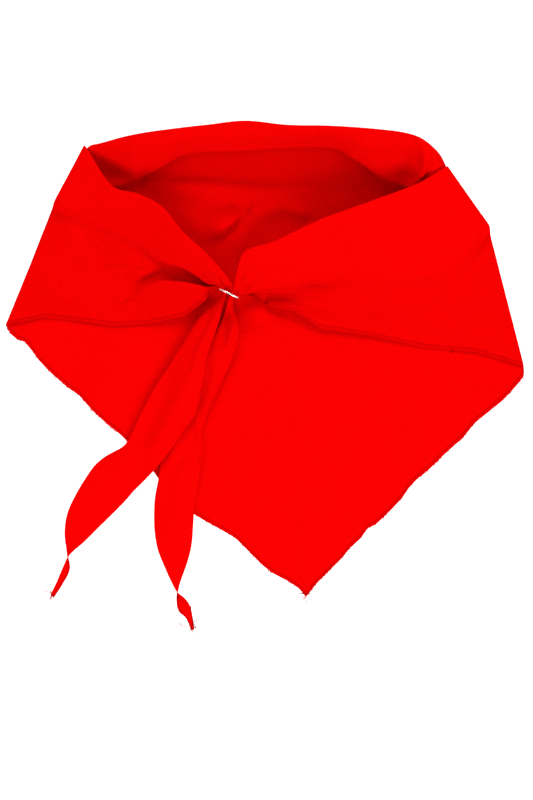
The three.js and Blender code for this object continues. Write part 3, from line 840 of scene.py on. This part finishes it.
class Shader:
    """A new material's node tree, with its Principled shader."""

    def __init__(self, name, colour, roughness, **constants):
        self.material = bpy.data.materials.new(name)
        self.material.use_nodes = True
        self.tree = self.material.node_tree
        self.skin = self.tree.nodes["Principled BSDF"]
        self.skin.inputs["Base Color"].default_value = (*colour, 1)
        self.skin.inputs["Roughness"].default_value = roughness
        for socket, value in constants.items():
            self.skin.inputs[socket.replace("_", " ")].default_value = value
        self.material.diffuse_color = (*colour, 1)

    def node(self, kind, settings=None, outlet=0, **sockets):
        """A node of a type with its settings and the values or links of its sockets."""
        made = self.tree.nodes.new(kind)
        for name, value in (settings or {}).items():
            setattr(made, name, value)
        for name, value in sockets.items():
            socket = made.inputs[name.replace("_", " ")]
            if isinstance(value, Sock):
                self.tree.links.new(value.value, socket)
            else:
                socket.default_value = value
        return Sock(self.tree, made.outputs[outlet])

    def coordinates(self, outlet):
        """Texture coordinates of one kind."""
        return self.node("ShaderNodeTexCoord", outlet=outlet)

    def mix_colours(self, factor, first, second):
        """A Mix node from one colour to another."""
        made = self.tree.nodes.new("ShaderNodeMix")
        made.data_type = "RGBA"
        self.tree.links.new(factor.value, made.inputs[0])
        for socket, value in ((made.inputs[6], first), (made.inputs[7], second)):
            socket.default_value = (*value, 1)
        return Sock(self.tree, made.outputs[2])

    def feed(self, socket, value):
        """Link a value to a socket of the skin."""
        self.tree.links.new(value.value, self.skin.inputs[socket])

    def bump(self, height, distance, strength=1.0):
        """Raise the skin by a height, through a Bump node."""
        raised = self.node("ShaderNodeBump", Height=height, Distance=distance, Strength=strength)
        self.feed("Normal", raised)


def cloth_material(colour, pitch):
    """Plain weave along the two legs, with slubs, slow tones and painted shade that deepens the red on the
    wings.
    """
    shader = Shader("red plain weave", colour, 0.88, Specular_IOR_Level=0.0)
    flat = shader.coordinates("UV")
    warp, weft = (
        shader.node(
            "ShaderNodeTexWave", dict(wave_type="BANDS", bands_direction=way, wave_profile="SIN"), "Fac",
            Vector=flat, Scale=WAVE_BAND / pitch, Distortion=0.6, Detail=1.0, Detail_Scale=2.0,
        )
        for way in "XY"
    )
    slub, tone = (
        shader.node(
            "ShaderNodeTexNoise", None, "Fac", Vector=flat, Scale=scale, Detail=3.0, Roughness=rough)
        for scale, rough in ((260.0, 0.6), (24.0, 0.55))
    )
    weave = warp.larger(weft) * 0.75 + slub * 0.5
    deep = tuple(channel * 0.86 for channel in colour)
    # Painted shade: the wings, where they lie over other cloth, get a deeper red than the single layer.
    painted_shade = shader.node("ShaderNodeAttribute", dict(attribute_name="cloth_below"), "Fac")
    shade = tone * 0.6 + weave * 0.5 - painted_shade * 0.25
    shader.feed("Base Color", shader.mix_colours(shade, deep, colour))
    shader.feed("Roughness", tone * 0.12 + 0.8)
    shader.bump(weave, 0.00012, 0.55)
    return shader.material


def thread_material(name, colour):
    """Matt thread with a fine grain."""
    shader = Shader(name, colour, 0.7, Specular_IOR_Level=0.0)
    place = shader.coordinates("Object")
    grain = shader.node("ShaderNodeTexNoise", None, "Fac", Vector=place, Scale=1500.0, Detail=2.0)
    tone = shader.node("ShaderNodeTexNoise", None, "Fac", Vector=place, Scale=90.0, Detail=2.0)
    shader.feed("Base Color", shader.mix_colours(tone, tuple(c * 0.78 for c in colour), colour))
    shader.bump(grain, 0.00005, 0.5)
    return shader.material


def ring_material(colour, roughness):
    """Bright metal with some wear."""
    shader = Shader("bright ring metal", colour, roughness, Metallic=1.0)
    place = shader.coordinates("Object")
    wear = shader.node("ShaderNodeTexNoise", None, "Fac", Vector=place, Scale=420.0, Detail=4.0)
    scratch = shader.node("ShaderNodeTexNoise", None, "Fac", Vector=place, Scale=2600.0, Detail=2.0)
    shader.feed("Roughness", wear * 0.18 + (roughness - 0.06))
    shader.feed("Base Color", shader.mix_colours(wear, tuple(c * 0.86 for c in colour), colour))
    shader.bump(scratch, 0.00002, 0.3)
    return shader.material


def floor_material(colour):
    """Pale table that glows a little, so that it stays white at the edges."""
    glow = dict(Emission_Color=(1, 1, 1, 1), Emission_Strength=0.6)
    shader = Shader("pale table", colour, 0.9, Specular_IOR_Level=0.1, **glow)
    place = shader.coordinates("Object")
    tone = shader.node("ShaderNodeTexNoise", None, "Fac", Vector=place, Scale=3.0, Detail=2.0)
    shader.feed("Base Color", shader.mix_colours(tone, tuple(c * 0.985 for c in colour), colour))
    return shader.material


# Making pieces.


def finished(name, bm, material):
    """The piece of a finished bmesh, smooth and on its body."""
    mesh = bpy.data.meshes.new(name)
    bm.to_mesh(mesh)
    bm.free()
    for face in mesh.polygons:
        face.use_smooth = True
    piece = bpy.data.objects.new(name, mesh)
    piece.data.materials.append(material)
    bpy.context.collection.objects.link(piece)
    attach(piece, BODY)
    return piece


def tube(bm, path, radius, sides=4):
    """A closed thread along a path, added to the mesh."""
    rings = []
    side = None
    for i, point in enumerate(path):
        run = (path[min(i + 1, len(path) - 1)] - path[max(i - 1, 0)]).normalized()
        if side is None:
            side = run.orthogonal().normalized()
        side = (side - run * side.dot(run)).normalized()
        other = run.cross(side)
        rings.append([
            bm.verts.new(point + (side * math.cos(a) + other * math.sin(a)) * radius)
            for a in (math.tau * k / sides for k in range(sides))
        ])
    for a, b in zip(rings, rings[1:]):
        for k in range(sides):
            bm.faces.new((a[k], a[(k + 1) % sides], b[(k + 1) % sides], b[k]))
    bm.faces.new(rings[0][::-1])
    bm.faces.new(rings[-1])


class ClothSizes(bpy.types.PropertyGroup):
    """Sizes and colour of the cloth"""

    thickness: bpy.props.FloatProperty(
        name="Thickness", description="Thickness of the cloth", default=0.00035, unit="LENGTH")
    pitch: bpy.props.FloatProperty(
        name="Thread pitch", description="Distance from one thread of the weave to the next",
        default=0.00042, unit="LENGTH")
    colour: bpy.props.FloatVectorProperty(
        name="Colour", description="Colour of the cloth", default=(0.72, 0.0005, 0.0005), size=3,
        subtype="COLOR")


class EdgeSizes(bpy.types.PropertyGroup):
    """Sizes and colour of the overlocked edge and its threads"""

    band: bpy.props.FloatProperty(
        name="Band", description="Width of the overlocked edge", default=0.0028, unit="LENGTH")
    stitch: bpy.props.FloatProperty(
        name="Stitch", description="Length of one overlock stitch", default=0.0014, unit="LENGTH")
    thread: bpy.props.FloatProperty(
        name="Thread", description="Radius of the thread", default=0.00013, unit="LENGTH")
    nub: bpy.props.FloatProperty(
        name="Nub", description="Radius of the nubs and loose ends", default=0.00028, unit="LENGTH")
    colour: bpy.props.FloatVectorProperty(
        name="Colour", description="Colour of the thread", default=(0.70, 0.0006, 0.0006), size=3,
        subtype="COLOR")


class RingSizes(bpy.types.PropertyGroup):
    """Sizes and finish of the slide ring"""

    wall: bpy.props.FloatProperty(
        name="Wall", description="Thickness of the ring's wall", default=0.0013, unit="LENGTH")
    length: bpy.props.FloatProperty(
        name="Length", description="Length of the ring along the strands", default=0.0014, unit="LENGTH")
    edge: bpy.props.FloatProperty(
        name="Edge", description="Radius of the ring's rounded edges", default=0.00055, unit="LENGTH")
    colour: bpy.props.FloatVectorProperty(
        name="Colour", description="Colour of the metal", default=(0.95, 0.94, 0.92), size=3,
        subtype="COLOR")
    roughness: bpy.props.FloatProperty(
        name="Roughness", description="Roughness of the metal", default=0.14, min=0, max=1,
        subtype="FACTOR")


class StageSizes(bpy.types.PropertyGroup):
    """Lights and table"""

    front_light: bpy.props.FloatProperty(
        name="Front light", description="Power of the light past the tails", default=67.0, unit="POWER")
    left_light: bpy.props.FloatProperty(
        name="Left light", description="Power of the light at the left", default=24.0, unit="POWER")
    right_light: bpy.props.FloatProperty(
        name="Right light", description="Power of the light at the right", default=28.0, unit="POWER")
    back_light: bpy.props.FloatProperty(
        name="Back light", description="Power of the light behind the collar", default=66.0, unit="POWER")
    fill: bpy.props.FloatProperty(name="Fill", description="Strength of the room's own light", default=0.51)
    floor: bpy.props.FloatVectorProperty(
        name="Floor", description="Colour of the table", default=(0.97, 0.97, 0.97), size=3,
        subtype="COLOR")


GRIDS = {}


def cloth_grid():
    """The sheet's points, flat places and shares of a wing, worked out once for each thickness."""
    thickness = bpy.context.scene.kerchief_cloth.thickness
    if thickness not in GRIDS:
        GRIDS[thickness] = sheet_grid(thickness)
    return GRIDS[thickness]


class NECKERCHIEF_OT_cloth(bpy.types.Operator):
    """Fold the triangle of cloth"""

    bl_idname = "neckerchief.cloth"
    bl_label = "Cloth"

    def execute(self, context):
        sizes = context.scene.kerchief_cloth
        points, flat, painted_shade = cloth_grid()
        rows, columns = len(points), len(points[0])
        bm = bmesh.new()
        bmesh.ops.create_grid(bm, x_segments=rows - 1, y_segments=columns - 1, size=0.5)
        uv = bm.loops.layers.uv.new("flat cloth")
        where = {}
        for vert in bm.verts:
            i = round((vert.co.x + 0.5) * (rows - 1))
            j = round((vert.co.y + 0.5) * (columns - 1))
            where[vert.index] = (i, j)
            vert.co = points[i][j]
        if len(set(where.values())) != rows * columns:
            raise RuntimeError("the grid has not the rows and columns that the sheet needs")
        for face in bm.faces:
            for loop in face.loops:
                i, j = where[loop.vert.index]
                loop[uv].uv = flat[i][j]
        # Painted shade: the lying cloth of each wing gets its wing share, which darkens the red in the
        # material.
        over = bm.verts.layers.float.new("cloth_below")
        bm.verts.ensure_lookup_table()
        for vert in bm.verts:
            i, j = where[vert.index]
            vert[over] = painted_shade[i] if j >= columns - PANEL_COLUMNS else 0.0
        piece = finished("kerchief_cloth", bm, cloth_material(sizes.colour[:], sizes.pitch))
        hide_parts("kerchief")
        return {"FINISHED"}


def inwards(row, distance):
    """Point of a section at a distance from the hem, measured along the cloth."""
    for j in range(len(row) - 1, 0, -1):
        step = (row[j - 1] - row[j]).length
        if distance <= step:
            return row[j].lerp(row[j - 1], distance / max(step, 1e-9))
        distance -= step
    return row[0]


def hem_frames(points, spacing, band):
    """Places at even steps along the leg edges: the edge, two points further in on the cloth, and up."""
    rows = []
    for i, row in enumerate(points):
        before, after = points[max(i - 1, 0)], points[min(i + 1, len(points) - 1)]
        reach = min(band, BAND_SHARE * sum((b - a).length for a, b in zip(row, row[1:])))
        middle, inner = inwards(row, reach * BAND_MIDDLE), inwards(row, reach)
        up = (inner - row[-1]).cross(after[-2] - before[-2]).normalized()
        rows.append((row[-1], middle, inner, up))
    runs = lengths_along([row[0] for row in rows])
    frames = []
    place, i = 0.0, 0
    while place < runs[-1]:
        while i < len(runs) - 2 and runs[i + 1] < place:
            i += 1
        t = (place - runs[i]) / max(runs[i + 1] - runs[i], 1e-9)
        frames.append([a.lerp(b, t) for a, b in zip(rows[i], rows[i + 1])])
        place += spacing
    return frames


class NECKERCHIEF_OT_edge(bpy.types.Operator):
    """Overlock the two leg edges"""

    bl_idname = "neckerchief.edge"
    bl_label = "Overlocked edge"

    def execute(self, context):
        sizes = context.scene.kerchief_edge
        cloth = context.scene.kerchief_cloth
        points, *_ = cloth_grid()
        draw = random.Random(11)
        high = cloth.thickness / 2
        bm = bmesh.new()
        frames = hem_frames(points, sizes.stitch, sizes.band)
        path = []
        for frame_here, frame_next in zip(frames, frames[1:]):
            edge, middle, inner, up = frame_here
            forward = frame_next[0] - edge
            wobble = draw.uniform(-0.07, 0.07)
            inner = inner + (inner - middle) * wobble
            outside = edge + (edge - middle) * 0.2
            # One stitch goes over the top face, round the edge and back along the lower face.
            turn = [(inner, 1), (middle, 1), (outside, 0.6), (outside, -0.6), (middle, -1), (inner, -1)]
            for k, (spot, level) in enumerate(turn):
                path.append(spot + forward * (k / len(turn)) + up * high * level)
        tube(bm, path, sizes.thread)
        for level in (1, -1):
            line = [middle.lerp(inner, 0.9) + up * high * 1.15 * level for _, middle, inner, up in frames]
            tube(bm, line, sizes.thread * 1.1)
        piece = finished("edge_stitches", bm, thread_material("edge thread", sizes.colour[:]))
        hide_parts("kerchief")
        return {"FINISHED"}


class NECKERCHIEF_OT_thread_ends(bpy.types.Operator):
    """Leave loose thread ends at the corners and nubs along the edge"""

    bl_idname = "neckerchief.thread_ends"
    bl_label = "Thread ends"

    def execute(self, context):
        sizes = context.scene.kerchief_edge
        points, *_ = cloth_grid()
        draw = random.Random(5)
        bm = bmesh.new()

        def strand(start, heading, length, droop, radius):
            """A short thread that sways and droops to the table."""
            path = [start]
            step = length / 6
            for _ in range(6):
                sway = Vector((draw.uniform(-0.35, 0.35), draw.uniform(-0.35, 0.35), -droop))
                heading = (heading + sway).normalized()
                spot = path[-1] + heading * step
                spot.z = max(spot.z, radius)
                path.append(spot)
            tube(bm, path, radius)

        for edge, middle, _, up in hem_frames(points, sizes.stitch, sizes.band):
            if edge.z < NUB_LEVEL and draw.random() < 0.2:
                swing = (up * 0.2 + (edge - middle).normalized()).normalized()
                strand(edge.lerp(middle, 0.3), swing, draw.uniform(0.0014, 0.003), 0.1, sizes.nub)
        for pixels in THREAD_ENDS:
            (x0, y0), (x1, y1) = pixels
            start, end = seen(x0, y0, 1.2) + SHIFT, seen(x1, y1, 0.4) + SHIFT
            strand(start, (end - start).normalized(), (end - start).length, 0.03, sizes.nub * 1.15)
        shaded = tuple(channel * 0.6 for channel in sizes.colour)
        piece = finished("thread_ends", bm, thread_material("loose thread", shaded))
        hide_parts("kerchief")
        return {"FINISHED"}


class NECKERCHIEF_OT_ring(bpy.types.Operator):
    """Turn the slide ring"""

    bl_idname = "neckerchief.ring"
    bl_label = "Slide ring"

    def execute(self, context):
        sizes = context.scene.kerchief_ring
        low, high = (Vector(corner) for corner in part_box("slide_ring"))
        outer = (high.z - low.z) / 2
        inner = outer - sizes.wall
        half = sizes.length / 2
        corner = sizes.edge
        bm = bmesh.new()
        profile = []
        for centre_r, centre_y, start in (
            (outer - corner, half - corner, 0), (inner + corner, half - corner, 90),
            (inner + corner, corner - half, 180), (outer - corner, corner - half, 270),
        ):
            for degrees in range(start, start + 91, 18):
                angle = math.radians(degrees)
                profile.append((centre_r + corner * math.cos(angle), centre_y + corner * math.sin(angle)))
        verts = [bm.verts.new((r, y, 0)) for r, y in profile]
        edges = [bm.edges.new((a, b)) for a, b in zip(verts, verts[1:] + verts[:1])]
        bmesh.ops.spin(
            bm, geom=verts + edges, cent=(0, 0, 0), axis=(0, 1, 0), angle=math.tau, steps=96,
            use_merge=True)
        bmesh.ops.remove_doubles(bm, verts=bm.verts, dist=1e-6)
        bmesh.ops.recalc_face_normals(bm, faces=bm.faces)
        standing = Matrix.Translation(ring_centre()) @ Matrix.Rotation(RING_TURN, 4, "Z")
        bmesh.ops.transform(bm, matrix=standing, verts=bm.verts)
        piece = finished("bright_ring", bm, ring_material(sizes.colour[:], sizes.roughness))
        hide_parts("slide_ring")
        return {"FINISHED"}


def softbox(name, place, size, power):
    """A rectangular light that faces the middle of the table."""
    light = bpy.data.lights.new(name, "AREA")
    light.shape = "RECTANGLE"
    light.size, light.size_y = size
    light.energy = power
    lamp = bpy.data.objects.new(name, light)
    lamp.location = place
    lamp.rotation_euler = (-Vector(place)).to_track_quat("-Z", "Y").to_euler()
    bpy.context.collection.objects.link(lamp)


class NECKERCHIEF_OT_stage(bpy.types.Operator):
    """Set the table, the lights and the camera"""

    bl_idname = "neckerchief.stage"
    bl_label = "Stage"

    def execute(self, context):
        sizes = context.scene.kerchief_stage
        bm = bmesh.new()
        bmesh.ops.create_grid(bm, x_segments=1, y_segments=1, size=TABLE_HALF)
        mesh = bpy.data.meshes.new("table")
        bm.to_mesh(mesh)
        bm.free()
        table = bpy.data.objects.new("table", mesh)
        mesh.materials.append(floor_material(sizes.floor[:]))
        context.collection.objects.link(table)

        for name, (place, size) in SOFTBOXES.items():
            softbox(f"{name} softbox", place, size, getattr(sizes, f"{name}_light"))

        world = bpy.data.worlds.new("room")
        world.use_nodes = True
        background = world.node_tree.nodes["Background"]
        background.inputs["Color"].default_value = (1, 1, 1, 1)
        background.inputs["Strength"].default_value = sizes.fill
        context.scene.world = world
        context.scene.view_settings.view_transform = "Standard"

        camera_data = bpy.data.cameras.new("camera")
        camera_data.lens = camera_data.sensor_width * CAMERA_HEIGHT / (PHOTO_HEIGHT * PIXEL)
        camera_data.clip_end = 50
        camera = bpy.data.objects.new("camera", camera_data)
        camera.location = seen(PHOTO_WIDTH / 2, PHOTO_HEIGHT / 2) + SHIFT + Vector((0, 0, CAMERA_HEIGHT))
        context.collection.objects.link(camera)
        context.scene.camera = camera
        return {"FINISHED"}


class NECKERCHIEF_PT_panel(bpy.types.Panel):
    """Lists the steps that make the neckerchief"""

    bl_idname = "NECKERCHIEF_PT_panel"
    bl_label = "Neckerchief"
    bl_space_type = "VIEW_3D"
    bl_region_type = "UI"
    bl_category = "Neckerchief"

    def draw(self, context):
        """List the steps and their sizes."""
        for operator in OPERATORS:
            self.layout.operator(operator.bl_idname)
        for group in GROUPS:
            for name in GROUPS[group].__annotations__:
                self.layout.prop(getattr(context.scene, group), name)


GROUPS = {
    "kerchief_cloth": ClothSizes,
    "kerchief_edge": EdgeSizes,
    "kerchief_ring": RingSizes,
    "kerchief_stage": StageSizes,
}
OPERATORS = (
    NECKERCHIEF_OT_stage,
    NECKERCHIEF_OT_cloth,
    NECKERCHIEF_OT_edge,
    NECKERCHIEF_OT_thread_ends,
    NECKERCHIEF_OT_ring,
)
CLASSES = (*GROUPS.values(), *OPERATORS, NECKERCHIEF_PT_panel)


def register():
    """Add the classes and the groups of sizes."""
    for entry in CLASSES:
        bpy.utils.register_class(entry)
    for name, group in GROUPS.items():
        setattr(bpy.types.Scene, name, bpy.props.PointerProperty(type=group))


def unregister():
    """Take the classes and the groups of sizes away."""
    for name in GROUPS:
        delattr(bpy.types.Scene, name)
    for entry in reversed(CLASSES):
        bpy.utils.unregister_class(entry)


def main():
    """Make the whole neckerchief."""
    register()
    bpy.ops.neckerchief.stage()
    bpy.ops.neckerchief.cloth()
    bpy.ops.neckerchief.edge()
    bpy.ops.neckerchief.thread_ends()
    bpy.ops.neckerchief.ring()


if __name__ == "__main__":
    main()
